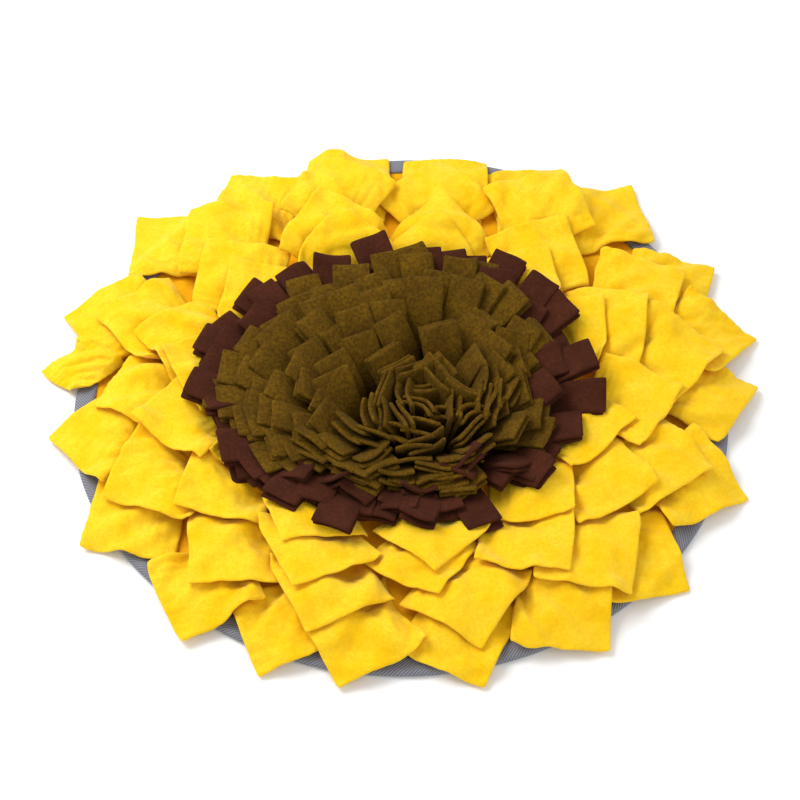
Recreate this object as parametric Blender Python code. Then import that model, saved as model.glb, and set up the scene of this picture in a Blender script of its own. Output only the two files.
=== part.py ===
"""Round snuffle mat shaped as a sunflower, lying flat.

A round base cloth has webbing folded over its edge. Four rings of square fleece petals are sewn to
it, each petal gathered at one corner, with the opposite corner pointing outwards. Inside them stand
a ring of brown fleece strips and a dome of olive ones. +Z is up and the origin is the middle of the
underside. The petals are laid one after another, and each comes to rest on what lies under it.
"""

import math
import random
from collections import namedtuple

import bmesh
import bpy
import numpy as np
from mathutils import Euler, Vector
from mathutils.bvhtree import BVHTree

MM = 0.001
GAP = 0.3 * MM  # between pieces that touch
WELD = 0.01 * MM  # points nearer than this are one

# Base cloth, and the webbing folded over its edge
BASE_THICKNESS = 3.0 * MM
BASE_FLAT_RADIUS = 222 * MM  # the cloth lies on the floor as far as this
BASE_EDGE_RADIUS = 247 * MM
BASE_STEP = 2 * MM  # the cloth is at its full lift this far inside the webbing
RIM_RADIUS = 250 * MM
WEBBING_THICKNESS = 1.2 * MM
WEBBING_WIDTH = 15 * MM  # how far each leg of the webbing reaches in from the rim
RIM_ROUND = 0.6 * MM  # the fold at the rim bulges by this much
BINDING_TOP = 2 * WEBBING_THICKNESS + 2 * GAP + BASE_THICKNESS
RIM_STEPS = 48
RIM_WAVES = ((2, 0.010, 40), (3, 0.008, 310), (5, 0.004, 120))  # lobes, share of the radius, bearing

# Petals
FLEECE_THICKNESS = 2.0 * MM
LAY_GAP = 0.5 * MM  # kept between one laid piece and the next
PETAL_STEPS = 5  # cells along each side of a petal
ROOT_WIDTH = 0.42  # share of its width that a petal keeps at the seam
SIDE_WIDTH = 0.86  # and at its side corners
FIRST_FALL = 2.0 * MM  # a petal being laid sinks by this much at first, and by less each time
LAST_FALL = 0.02 * MM
FALL_SLOWING = 0.955
FLOOR_GAP = 1.5 * MM  # a petal's tip stays this far off the floor
STIFFNESS = 0.35  # how far each bent point is drawn back to its neighbours, as a share
# The heights of a petal's own form, each from the least to the most that a petal has
ARCH_HEIGHT = (9 * MM, 13 * MM)
ARCH_SKEW = 0.75  # under 1 the arch is highest nearer the seam
DROOP_HEIGHT = (1.2 * MM, 6 * MM)  # how far its side corners hang
LEAN_HEIGHT = (-3 * MM, 3 * MM)  # one side corner above the other
PLEAT_HEIGHT = (1.8 * MM, 3 * MM)
PLEAT_TURN = 4.5  # of the pleats' wave, in radians, from the middle to a side corner
PLEAT_REACH = 0.62  # share of the petal's length that the pleats take up
TIP_HEIGHT = (-2.5 * MM, 5 * MM)
TIP_START = 0.6  # share of the length where the tip starts to curl
PETAL_SEED = 11

# bearing in degrees from +X, reach of the tip from the middle in millimetres, turn of the petal
# about the vertical in degrees, share of the usual width
Petal = namedtuple("Petal", "bearing reach turn width")
# Rings from the outside in: name, radius of the seam, side of the square petals
Ring = namedtuple("Ring", "name seam square petals")

RINGS = (
    Ring("outer", 186 * MM, 84 * MM, (
        Petal(140, 288, -5, 1.00),
        Petal(103, 268, 0, 1.00),
        Petal(61, 276, -6, 1.00),
        Petal(27, 284, 4, 0.90),
        Petal(1, 274, 12, 0.90),
        Petal(319, 268, 16, 1.00),
        Petal(282, 265, 10, 1.00),
        Petal(248, 272, 0, 0.85),
        Petal(211, 276, 1, 1.00),
        Petal(164, 282, -3, 1.00),
        Petal(122, 277, 0, 0.85),
        Petal(84, 262, 0, 1.00),
        Petal(49, 292, 7, 0.90),
        Petal(11, 285, -5, 0.80),
        Petal(339, 274, 7, 1.00),
        Petal(302, 273, 12, 1.00),
        Petal(260, 266, -9, 1.00),
        Petal(235, 275, 16, 0.90),
        Petal(189, 274, -12, 1.00),
    )),
    Ring("second", 156 * MM, 82 * MM, (
        Petal(134, 255, -1, 1.00),
        Petal(83, 240, 3, 1.00),
        Petal(26, 250, 0, 1.00),
        Petal(340, 244, 10, 1.00),
        Petal(283, 241, -1, 1.00),
        Petal(230, 240, -4, 1.00),
        Petal(185, 239, 12, 0.90),
        Petal(106, 247, 0, 1.00),
        Petal(60, 259, 7, 1.00),
        Petal(7, 251, 0, 1.00),
        Petal(310, 252, -2, 1.00),
        Petal(253, 238, -3, 1.00),
        Petal(206, 247, -1, 1.00),
        Petal(165, 252, 0, 1.00),
    )),
    Ring("third", 128 * MM, 80 * MM, (
        Petal(138, 214, -11, 1.00),
        Petal(81, 196, 5, 1.00),
        Petal(22, 209, 13, 1.00),
        Petal(331, 214, 14, 1.00),
        Petal(277, 202, 8, 1.00),
        Petal(216, 209, -5, 1.00),
        Petal(168, 216, 4, 1.00),
        Petal(110, 206, -5, 1.00),
        Petal(52, 212, 8, 1.00),
        Petal(357, 214, 16, 1.00),
        Petal(303, 216, 6, 1.00),
        Petal(248, 212, 2, 1.00),
        Petal(192, 212, -7, 1.00),
    )),
    Ring("inner", 108 * MM, 76 * MM, (
        Petal(139, 184, -12, 1.00),
        Petal(80, 172, -2, 1.00),
        Petal(25, 176, 16, 1.00),
        Petal(314, 180, 3, 1.00),
        Petal(241, 184, 0, 1.00),
        Petal(173, 190, -10, 1.00),
        Petal(108, 180, -7, 1.00),
        Petal(49, 179, 7, 1.00),
        Petal(346, 182, 12, 1.00),
        Petal(277, 184, -6, 1.00),
    )),
)

# Strips. One row for each circle of strips: radius of their roots, how many, the radius and the height
# above the backing that their tips reach, and how far they bend over, in degrees. Every strip stands
# up from its root and bends outwards along part of an ellipse, so that the rows lie over one another.
Row = namedtuple("Row", "root count reach height bend")
STRIP_THICKNESS = 2.2 * MM
STRIP_WIDTH = 24 * MM
STRIP_ROOT_WIDTH = 13 * MM
STRIP_STEPS = 3
STRIP_GAP = 0.4 * MM  # kept round every strip but at its root
LAY_LIFT = 0.5 * MM  # a strip that would touch another is raised by this much at its tip,
LAY_CALM = 0.93  # and its turn and roll are lessened, until it is clear
LAY_ATTEMPTS = 24
STRIP_RAGGED = 0.14  # how much the strips of a row differ in length, as a share
STRIP_TURN = 0.12  # how far a strip may turn away from straight outwards, in radians
STRIP_ROLL = 0.08  # and roll about its own length
STRIP_SPREAD = 0.03  # and stand off its even place round its circle, in radians
STRIP_OVAL = 0.055  # the tips reach this much further along X, and less along Y, as a share
WHORL_SHIFT = 0.28  # how far each smaller circle of olive strips sits forward, as a share of the step
BACKING_THICKNESS = 2.2 * MM
BACKING_TOP = BASE_THICKNESS + GAP + BACKING_THICKNESS
ROOT_SUNK = 1.2 * MM  # how deep a strip's root goes into its backing
BACKING_STEPS = 24
STRIP_SEED = 5
BROWN_BACKING = (82 * MM, 104 * MM)  # inner and outer radius
OLIVE_BACKING = (0.0, 80 * MM)
BROWN_ROWS = (
    Row(101 * MM, 18, 160 * MM, 15 * MM, 100),
    Row(96 * MM, 18, 157 * MM, 20 * MM, 95),
    Row(91 * MM, 17, 150 * MM, 25 * MM, 88),
    Row(86 * MM, 17, 145 * MM, 30 * MM, 82),
)
OLIVE_ROWS = (
    Row(77 * MM, 16, 138 * MM, 36 * MM, 78),
    Row(71 * MM, 15, 132 * MM, 40 * MM, 75),
    Row(65 * MM, 14, 121 * MM, 43 * MM, 72),
    Row(58 * MM, 13, 112 * MM, 46 * MM, 68),
    Row(52 * MM, 11, 100 * MM, 49 * MM, 65),
    Row(45 * MM, 10, 90 * MM, 51 * MM, 60),
    Row(38 * MM, 9, 78 * MM, 53 * MM, 55),
    Row(31 * MM, 7, 66 * MM, 55 * MM, 50),
    Row(24 * MM, 5, 52 * MM, 56 * MM, 45),
    Row(15 * MM, 3, 36 * MM, 57 * MM, 40),
)

CELL = 1.0 * MM  # of the map of heights that the pieces are laid on
MAP_HALF = 310  # cells from the middle of that map to its edge


def clear_scene():
    for thing in list(bpy.data.objects):
        bpy.data.objects.remove(thing)


def material(name, colour, roughness):
    """A plain cloth finish, with its colour as linear red, green and blue."""
    finish = bpy.data.materials.new(name)
    finish.use_nodes = True
    shader = finish.node_tree.nodes["Principled BSDF"]
    shader.inputs["Base Color"].default_value = (*colour, 1.0)
    shader.inputs["Roughness"].default_value = roughness
    shader.inputs["Metallic"].default_value = 0.0
    return finish


def add_solid(name, shape, finish):
    """Makes a bmesh an object, with its faces turned outwards."""
    bmesh.ops.recalc_face_normals(shape, faces=shape.faces)
    mesh = bpy.data.meshes.new(name)
    shape.to_mesh(mesh)
    shape.free()
    mesh.materials.append(finish)
    solid = bpy.data.objects.new(name, mesh)
    bpy.context.scene.collection.objects.link(solid)
    return solid


def rim_scale(angle):
    """The rim isn't quite round: its radius at this angle, as a share of the usual one."""
    return 1.0 + sum(
        share * math.cos(lobes * (angle - math.radians(bearing)))
        for lobes, share, bearing in RIM_WAVES
    )


def turned(name, profile, steps, uneven, finish):
    """A closed profile of (radius, height) corners turned about the vertical. Where it is uneven it
    follows the rim in and out."""
    shape = bmesh.new()
    corners = [shape.verts.new((radius, 0.0, height)) for radius, height in profile]
    sides = [shape.edges.new(pair) for pair in zip(corners, corners[1:] + corners[:1])]
    bmesh.ops.spin(shape, geom=corners + sides, axis=(0, 0, 1), cent=(0, 0, 0),
                   angle=2 * math.pi, steps=steps, use_merge=True)
    bmesh.ops.remove_doubles(shape, verts=shape.verts, dist=WELD)
    if uneven:
        for corner in shape.verts:
            scale = rim_scale(math.atan2(corner.co.y, corner.co.x))
            corner.co.x *= scale
            corner.co.y *= scale
    return add_solid(name, shape, finish)


def make_base(finish):
    """The base cloth: flat on the floor, and raised at its edge to enter the webbing."""
    lift = WEBBING_THICKNESS + GAP
    raised_radius = RIM_RADIUS - WEBBING_WIDTH - BASE_STEP
    profile = (
        (0.0, 0.0),
        (BASE_FLAT_RADIUS, 0.0),
        (raised_radius, lift),
        (BASE_EDGE_RADIUS, lift),
        (BASE_EDGE_RADIUS, lift + BASE_THICKNESS),
        (raised_radius, lift + BASE_THICKNESS),
        (BASE_FLAT_RADIUS, BASE_THICKNESS),
        (0.0, BASE_THICKNESS),
    )
    return turned("base_cloth", profile, RIM_STEPS, True, finish)


def make_binding(finish):
    """Webbing folded round the edge of the base cloth, a U in section."""
    inside = RIM_RADIUS - WEBBING_WIDTH
    hollow = RIM_RADIUS - WEBBING_THICKNESS - GAP
    profile = (
        (inside, 0.0),
        (RIM_RADIUS - RIM_ROUND, 0.0),
        (RIM_RADIUS + RIM_ROUND, BINDING_TOP / 2),
        (RIM_RADIUS - RIM_ROUND, BINDING_TOP),
        (inside, BINDING_TOP),
        (inside, BINDING_TOP - WEBBING_THICKNESS),
        (hollow, BINDING_TOP - WEBBING_THICKNESS),
        (hollow, WEBBING_THICKNESS),
        (inside, WEBBING_THICKNESS),
    )
    return turned("edge_binding", profile, RIM_STEPS, True, finish)


class HeightMap:
    """The height of the topmost cloth over each cell of the plan."""

    def __init__(self):
        size = 2 * MAP_HALF + 1
        place = (np.arange(size) - MAP_HALF) * CELL
        self.x, self.y = np.meshgrid(place, place, indexing="ij")
        self.top = np.zeros((size, size))
        angle = np.arctan2(self.y, self.x)
        radius = np.hypot(self.x, self.y)
        wave = np.ones_like(radius)
        for lobes, share, bearing in RIM_WAVES:
            wave += share * np.cos(lobes * (angle - math.radians(bearing)))
        flat = radius <= (RIM_RADIUS + 2 * CELL) * wave
        webbing = flat & (radius >= (BASE_FLAT_RADIUS - 2 * CELL) * wave)
        self.top[flat] = BASE_THICKNESS
        self.top[webbing] = BINDING_TOP

    def cells(self, corners, margin=0.0):
        """The cells in a triangle in plan, and the weights of its corners at each."""
        a, b, c = (np.asarray(corner[:2]) for corner in corners)
        area = (b[0] - a[0]) * (c[1] - a[1]) - (b[1] - a[1]) * (c[0] - a[0])
        if abs(area) < WELD * WELD:
            return None
        low = np.minimum(np.minimum(a, b), c) - margin
        high = np.maximum(np.maximum(a, b), c) + margin
        i0, j0 = np.maximum(np.floor(low / CELL).astype(int) + MAP_HALF, 0)
        i1, j1 = np.ceil(high / CELL).astype(int) + MAP_HALF + 1
        x, y = self.x[i0:i1, j0:j1], self.y[i0:i1, j0:j1]
        wb = ((x - a[0]) * (c[1] - a[1]) - (y - a[1]) * (c[0] - a[0])) / area
        wc = ((b[0] - a[0]) * (y - a[1]) - (b[1] - a[1]) * (x - a[0])) / area
        wa = 1 - wb - wc
        reach = [np.linalg.norm(q - p) * margin / abs(area) for p, q in ((b, c), (c, a), (a, b))]
        inside = (wa >= -reach[0]) & (wb >= -reach[1]) & (wc >= -reach[2])
        i, j = np.nonzero(inside)
        return i + i0, j + j0, np.stack([wa[inside], wb[inside], wc[inside]], axis=1)

    def widened(self):
        """The map with each cell as high as the highest of its neighbours."""
        wide = self.top
        for axis in (0, 1):
            for shift in (-1, 1):
                wide = np.maximum(wide, np.roll(self.top, shift, axis))
        return wide

    def add(self, triangles):
        """Lays the upper side of a piece on the map."""
        for corners in triangles:
            found = self.cells(corners, CELL)
            if found is None:
                continue
            i, j, weights = found
            heights = weights @ np.array([corner[2] for corner in corners])
            heights = np.minimum(heights, max(corner[2] for corner in corners))
            self.top[i, j] = np.maximum(self.top[i, j], heights)


def grid_triangles(steps):
    """Triangles of a square grid, as indices, with the diagonals all one way."""
    row = steps + 1
    found = []
    for i in range(steps):
        for j in range(steps):
            a, b, c, d = i * row + j, (i + 1) * row + j, (i + 1) * row + j + 1, i * row + j + 1
            found += [(a, b, c), (a, c, d)]
    return found


def smooth_step(x):
    x = min(max(x, 0.0), 1.0)
    return x * x * (3 - 2 * x)


def petal_plan(ring, petal):
    """Where each point of a petal's grid lies in plan, and its place (u, v) on the cloth:
    u runs from 0 at the seam to 1 at the tip, and v from -1 to 1 between the side corners."""
    bearing, facing = math.radians(petal.bearing), math.radians(petal.bearing + petal.turn)
    reach = petal.reach * MM
    long = reach - ring.seam
    half = ring.square / math.sqrt(2)
    along = Vector((math.cos(facing), math.sin(facing)))
    across = Vector((-along.y, along.x))
    root = Vector((math.cos(bearing), math.sin(bearing))) * reach - along * long
    plan, cloth = [], []
    for i in range(PETAL_STEPS + 1):
        for j in range(PETAL_STEPS + 1):
            u, v = (i + j) / (2 * PETAL_STEPS), (i - j) / PETAL_STEPS
            gathered = ROOT_WIDTH + (SIDE_WIDTH * petal.width - ROOT_WIDTH) * smooth_step(u / 0.5)
            plan.append(root + along * (long * u) + across * (half * v * gathered))
            cloth.append((u, v))
    return np.array([tuple(p) for p in plan]), np.array(cloth)


def petal_form(cloth, dice):
    """The petal's own form over its plan: arched from seam to tip, its sides drooping, and pleated
    where it is gathered."""
    u, v = cloth[:, 0], cloth[:, 1]
    arch = dice.uniform(*ARCH_HEIGHT)
    droop = dice.uniform(*DROOP_HEIGHT)
    lean = dice.uniform(*LEAN_HEIGHT)
    tip = dice.uniform(*TIP_HEIGHT)
    pleats = dice.uniform(*PLEAT_HEIGHT)
    phase = dice.uniform(0, 2 * math.pi)
    form = arch * np.sin(math.pi * u ** ARCH_SKEW)
    fading = np.sin(math.pi * np.clip(u / PLEAT_REACH, 0, 1))
    form += pleats * fading * np.cos(PLEAT_TURN * v + phase)
    form += lean * v - droop * v * v
    form += tip * (np.clip(u - TIP_START, 0, 1) / (1 - TIP_START)) ** 2
    return form


def settle(plan, form, triangles, ground):
    """Lowers the petal onto the map until it rests, keeping its form as far as it can."""
    row = PETAL_STEPS + 1
    support = ground.widened()
    contacts = []
    for corners in triangles:
        found = ground.cells([plan[k] for k in corners])
        if found is not None and len(found[0]):
            i, j, weights = found
            contacts.append((list(corners), (support[i, j], weights)))
    height = form - form.min() + max(under.max() for _, (under, _) in contacts) + LAY_GAP
    spots = np.rint(plan / CELL).astype(int) + MAP_HALF
    floor = np.maximum(support[spots[:, 0], spots[:, 1]] + LAY_GAP, FLOOR_GAP)

    def press(height):
        worst = 0.0
        for corners, (under, weights) in contacts:
            short = under + LAY_GAP - weights @ height[corners]
            k = int(short.argmax())
            if short[k] > 0:
                w = weights[k]
                height[corners] += short[k] * w / (w @ w)
                worst = max(worst, short[k])
        np.maximum(height, floor, out=height)
        return worst

    fall = FIRST_FALL
    while fall > LAST_FALL:
        bent = (height - form).reshape(row, row)
        padded = np.pad(bent, 1, mode="edge")
        mean = (padded[:-2, 1:-1] + padded[2:, 1:-1] + padded[1:-1, :-2] + padded[1:-1, 2:]) / 4
        height = height + STIFFNESS * (mean - bent).ravel() - fall
        press(height)
        fall *= FALL_SLOWING
    while press(height) > WELD:
        pass
    return height


def cloth_solid(name, low, triangles, finish):
    """A sheet of fleece: its underside, extruded straight up by its thickness."""
    shape = bmesh.new()
    corners = [shape.verts.new(point) for point in low]
    faces = [shape.faces.new([corners[k] for k in triangle]) for triangle in triangles]
    upper = bmesh.ops.extrude_face_region(shape, geom=faces, use_keep_orig=True)["geom"]
    raised = [item for item in upper if isinstance(item, bmesh.types.BMVert)]
    bmesh.ops.translate(shape, verts=raised, vec=(0, 0, FLEECE_THICKNESS))
    return add_solid(name, shape, finish)


def make_petals(ground, finish):
    """All the petals, laid one on another from the outer ring in. Gives a search tree of them."""
    triangles = grid_triangles(PETAL_STEPS)
    points, faces = [], []
    dice = random.Random(PETAL_SEED)
    for ring in RINGS:
        for number, petal in enumerate(ring.petals, 1):
            plan, cloth = petal_plan(ring, petal)
            height = settle(plan, petal_form(cloth, dice), triangles, ground)
            low = [(x, y, z) for (x, y), z in zip(plan, height)]
            cloth_solid(f"petal_{ring.name}_{number:02d}", low, triangles, finish)
            high = [(x, y, z + FLEECE_THICKNESS) for x, y, z in low]
            ground.add([[high[k] for k in t] for t in triangles])
            faces += [tuple(k + len(points) for k in t) for t in triangles]
            points += high
    return BVHTree.FromPolygons(points, faces)


def strip_place(row, outermost, bearing, shift):
    """Where a strip's root and the tip of its row are in plan."""
    across, along = math.cos(bearing), math.sin(bearing)
    reach = row.reach * (1 + STRIP_OVAL * math.cos(2 * bearing))
    root = Vector((across * row.root, along * row.root - shift * (outermost.root - row.root), 0.0))
    tip = Vector((across * reach, along * reach - shift * (outermost.reach - row.reach), 0.0))
    return root, tip


def strip_sections(root, tip, row, turn, roll, cut, lift, spare):
    """The four corners of each cross-section of one strip, from its root to its tip. Cut is the share
    of its length that it keeps, lift is how much higher its tip is than its row's, and spare is added
    all round it."""
    out = (tip - root).normalized()
    out.rotate(Euler((0, 0, turn)))
    across = Vector((-out.y, out.x, 0.0))
    whole = math.radians(row.bend)
    long = (tip - root).length / (1 - math.cos(whole))
    tall = (row.height + ROOT_SUNK) / math.sin(whole)
    half_thick = STRIP_THICKNESS / 2 + spare
    sections = []
    for k in range(STRIP_STEPS + 1):
        share = k / STRIP_STEPS
        bend = whole * share * cut
        spot = root + out * (long * (1 - math.cos(bend)))
        spot.z = BACKING_TOP - ROOT_SUNK + tall * math.sin(bend) + lift * share
        slope = math.atan2(tall * math.cos(bend), long * math.sin(bend))
        normal = Vector((0, 0, math.cos(slope))) - out * math.sin(slope)
        half = (STRIP_ROOT_WIDTH + (STRIP_WIDTH - STRIP_ROOT_WIDTH) * smooth_step(share * 2)) / 2 + spare
        side = (across * math.cos(roll * share) + normal * math.sin(roll * share)) * half
        thick = normal * half_thick
        sections.append((spot - side - thick, spot + side - thick,
                         spot + side + thick, spot - side + thick))
    return sections


def tree_of(sections):
    """A search tree of one strip."""
    points = [corner for section in sections for corner in section]
    return BVHTree.FromPolygons(points, strip_faces(0, len(sections)))


def lay_strip(root, tip, row, dice, under):
    """One strip, raised and straightened a little at a time until it clears what is laid already."""
    turn, roll = dice.uniform(-STRIP_TURN, STRIP_TURN), dice.uniform(-STRIP_ROLL, STRIP_ROLL)
    cut = 1 - dice.uniform(0, STRIP_RAGGED)
    for attempt in range(LAY_ATTEMPTS):
        lift = attempt * LAY_LIFT
        calm = LAY_CALM ** attempt
        fat = tree_of(strip_sections(root, tip, row, turn * calm, roll * calm, cut, lift, STRIP_GAP))
        if not any(tree.overlap(fat) for tree in under):
            break
    return strip_sections(root, tip, row, turn * calm, roll * calm, cut, lift, 0.0)


def strip_faces(first, count):
    """The faces of one strip whose sections' corners start at this index."""
    last = first + 4 * (count - 1)
    faces = [(first, first + 1, first + 2, first + 3), (last + 3, last + 2, last + 1, last)]
    for section in range(count - 1):
        here, there = first + 4 * section, first + 4 * (section + 1)
        for k in range(4):
            following = (k + 1) % 4
            faces.append((here + k, there + k, there + following, here + following))
    return faces


def make_strips(name, backing, rows, shift, under, finish, dice):
    """Strips of fleece in circles, their roots fused into a flat backing on the base cloth."""
    laid = []
    for number, row in enumerate(rows):
        for k in range(row.count):
            bearing = 2 * math.pi * (k + 0.5 * (number % 2)) / row.count
            bearing += dice.uniform(-STRIP_SPREAD, STRIP_SPREAD)
            root, tip = strip_place(row, rows[0], bearing, shift)
            laid.append(lay_strip(root, tip, row, dice, under))
            under.append(tree_of(laid[-1]))
    shape = bmesh.new()
    for sections in laid:
        corners = [shape.verts.new(corner) for section in sections for corner in section]
        for face in strip_faces(0, len(sections)):
            shape.faces.new([corners[k] for k in face])
    strips = add_solid(name + "_loose", shape, finish)
    low = BASE_THICKNESS + GAP
    profile = [(radius, height) for height in (low, BACKING_TOP) for radius in backing]
    profile[2:] = reversed(profile[2:])
    solid = turned(name, profile, BACKING_STEPS, False, finish)
    join = solid.modifiers.new("join", "BOOLEAN")
    join.operation = "UNION"
    join.solver = "EXACT"
    join.object = strips
    strips.hide_render = True
    strips.display_type = "WIRE"
    return solid


def main():
    clear_scene()
    yellow = material("yellow_fleece", (0.95, 0.66, 0.02), 0.95)
    grey = material("grey_webbing", (0.20, 0.20, 0.22), 0.85)
    brown = material("brown_fleece", (0.075, 0.025, 0.018), 0.95)
    olive = material("olive_fleece", (0.105, 0.070, 0.008), 0.95)
    make_base(yellow)
    make_binding(grey)
    petals = make_petals(HeightMap(), yellow)
    dice = random.Random(STRIP_SEED)
    under = [petals]
    make_strips("brown_strips", BROWN_BACKING, BROWN_ROWS, 0.0, under, brown, dice)
    make_strips("olive_strips", OLIVE_BACKING, OLIVE_ROWS, WHORL_SHIFT, under, olive, dice)


main()
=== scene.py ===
import math
import random
from collections import namedtuple

import bpy
import numpy as np
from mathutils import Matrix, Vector
from mathutils.bvhtree import BVHTree


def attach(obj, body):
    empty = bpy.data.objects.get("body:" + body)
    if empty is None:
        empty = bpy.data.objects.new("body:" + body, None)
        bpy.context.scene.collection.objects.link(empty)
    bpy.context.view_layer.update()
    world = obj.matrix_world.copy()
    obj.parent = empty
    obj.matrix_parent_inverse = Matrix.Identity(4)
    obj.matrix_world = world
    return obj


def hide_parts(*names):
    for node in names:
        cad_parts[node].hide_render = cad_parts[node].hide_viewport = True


mm = 0.001
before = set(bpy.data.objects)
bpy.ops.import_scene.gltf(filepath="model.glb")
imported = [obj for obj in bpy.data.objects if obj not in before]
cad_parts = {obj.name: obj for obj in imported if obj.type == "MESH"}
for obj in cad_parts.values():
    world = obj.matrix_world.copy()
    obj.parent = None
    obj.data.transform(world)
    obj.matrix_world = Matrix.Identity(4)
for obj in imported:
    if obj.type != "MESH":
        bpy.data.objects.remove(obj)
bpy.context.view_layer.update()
print("frame loaded:", len(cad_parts), "nodes")


def deselectAll():
    bpy.ops.object.select_all(action="DESELECT")


def smoothStep(x):
    x = min(max(x, 0.0), 1.0)
    return x * x * (3 - 2 * x)


# the camera stands where the photograph's did, in soft studio light
cameraSettings = {
    "elevation": 52,  # degrees above the floor
    "distance": 1600 * mm,
    "lens": 93.15,
    "sensor": 36,
    "shiftX": -0.0056,
    "shiftY": -0.0044,
}
lightSettings = {
    "sky": "FFFFFF",
    "skyPower": 0.64,
    "keyPower": 16,
    "keySize": 900 * mm,
    "keyPlace": (-750 * mm, 350 * mm, 1150 * mm),
    "fillPower": 5,
    "fillSize": 1500 * mm,
    "fillPlace": (900 * mm, -900 * mm, 1100 * mm),
    "floor": "FFFFFF",
    "floorSize": 12.0,
    "floorRoughness": 0.9,
}


def hexColour(code):
    # an sRGB hex colour as linear red, green, blue and 1
    parts = [int(code[k:k + 2], 16) / 255 for k in (0, 2, 4)]
    return [c / 12.92 if c < 0.04045 else ((c + 0.055) / 1.055) ** 2.4 for c in parts] + [1.0]


def addNode(tree, kind, settings=None, inputs=None, links=None):
    # a node with its own settings, its sockets' values and what feeds them
    node = tree.nodes.new(kind)
    for name, value in (settings or {}).items():
        setattr(node, name, value)
    for socket, value in (inputs or {}).items():
        node.inputs[socket].default_value = value
    for socket, (source, output) in (links or {}).items():
        tree.links.new(source.outputs[output], node.inputs[socket])
    return node


def aimedAt(place, target=(0, 0, 0)):
    return (Vector(target) - Vector(place)).to_track_quat("-Z", "Y").to_euler()


def makeCamera(s):
    rise = math.radians(s["elevation"])
    place = Vector((0, -math.cos(rise), math.sin(rise))) * s["distance"]
    bpy.ops.object.camera_add(location=place, rotation=aimedAt(place))
    camera = bpy.context.object
    camera.data.lens = s["lens"]
    camera.data.sensor_width = s["sensor"]
    camera.data.shift_x = s["shiftX"]
    camera.data.shift_y = s["shiftY"]
    bpy.context.scene.camera = camera


def makeLight(s):
    bpy.context.scene.view_settings.view_transform = "Standard"
    world = bpy.data.worlds.new("studio")
    bpy.context.scene.world = world
    world.use_nodes = True
    sky = world.node_tree.nodes["Background"]
    sky.inputs["Color"].default_value = hexColour(s["sky"])
    sky.inputs["Strength"].default_value = s["skyPower"]
    for part in ("key", "fill"):
        place = s[part + "Place"]
        bpy.ops.object.light_add(type="AREA", location=place, rotation=aimedAt(place))
        lamp = bpy.context.object.data
        lamp.energy = s[part + "Power"]
        lamp.size = s[part + "Size"]
    bpy.ops.mesh.primitive_plane_add(size=s["floorSize"])
    floor = bpy.context.object
    floor.name = "floor"
    paper = bpy.data.materials.new("seamlessPaper")  # matt white paper, no sheen
    paper.use_nodes = True
    shader = paper.node_tree.nodes["Principled BSDF"]
    shader.inputs["Base Color"].default_value = hexColour(s["floor"])
    shader.inputs["Roughness"].default_value = s["floorRoughness"]
    floor.data.materials.append(paper)


makeCamera(cameraSettings)
makeLight(lightSettings)
print("camera and light ready")


# Polyester fleece: knitted, then brushed and shorn. A short matted nap scatters the light, so it has
# no gloss, a soft bright edge where it turns away, and a faintly clouded, pilled surface.
yellowFleece = {
    "name": "brushedFleeceYellow",
    "pale": "F9D32C",
    "deep": "F6C60A",
    "shade": "EFA800",
    "roughness": 0.95,
    "specular": 0.15,
    "sheen": 0.3,
    "sheenRoughness": 0.45,
    "sheenTint": "FFF0B0",
    "glow": 0.22,  # light that passes through the thin cloth
    "glowReach": 3 * mm,
    "glowSpread": (1.0, 0.55, 0.1),  # of red, green and blue light
    "cloud": 22 * mm,
    "cloudRange": (0.35, 0.65),  # of the noise, from the deep to the pale colour
    "nap": 2.4 * mm,  # real nap is finer: drawn as coarse as shows at this distance
    "napRange": (0.38, 0.62),
    "napShade": 0.35,
    "napHeight": 0.35 * mm,
    "napBump": 0.6,
    "tuft": 1.6,  # size of a matted tuft, in naps
    "tuftBump": 0.5,
}
# the base cloth is the same yellow fleece, but its colours are deepened to orange as painted shade: it
# shows only in the gaps between petals, where light bouncing between yellow layers turns orange
baseFleeceWithPaintedShade = dict(
    yellowFleece, name="brushedFleeceBasePaintedShade", pale="F8BC10", deep="F2AC04", shade="E29600",
)
brownFleece = dict(
    yellowFleece, name="brushedFleeceBrown", pale="4E2515", deep="401C0D", shade="2A1107",
    sheen=0.2, sheenTint="7A4C34", glow=0.0, napShade=0.45, napHeight=0.5 * mm,
)
oliveFleece = dict(
    yellowFleece, name="brushedFleeceOlive", pale="6E4F06", deep="5A3F04", shade="352402",
    sheen=0.18, sheenTint="857030", glow=0.0, napShade=0.65, napHeight=0.6 * mm,
)
# Polyester webbing in a twill weave: hard-twisted yarn, so a tight diagonal rib, slightly lustrous
greyTwill = {
    "name": "twillWebbingGrey",
    "yarn": "8D8E98",
    "gap": "5C5D66",
    "roughness": 0.7,
    "sheen": 0.1,
    "rib": 1.7 * mm,
    "ribHeight": 0.25 * mm,
    "ribBump": 0.7,
    "ribWaver": 0.6,  # how unevenly the ribs run
    "slant": 0.9,  # of the diagonal, in radians
}


def newMaterial(name):
    finish = bpy.data.materials.new(name)
    finish.use_nodes = True
    return finish, finish.node_tree, finish.node_tree.nodes["Principled BSDF"]


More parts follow.
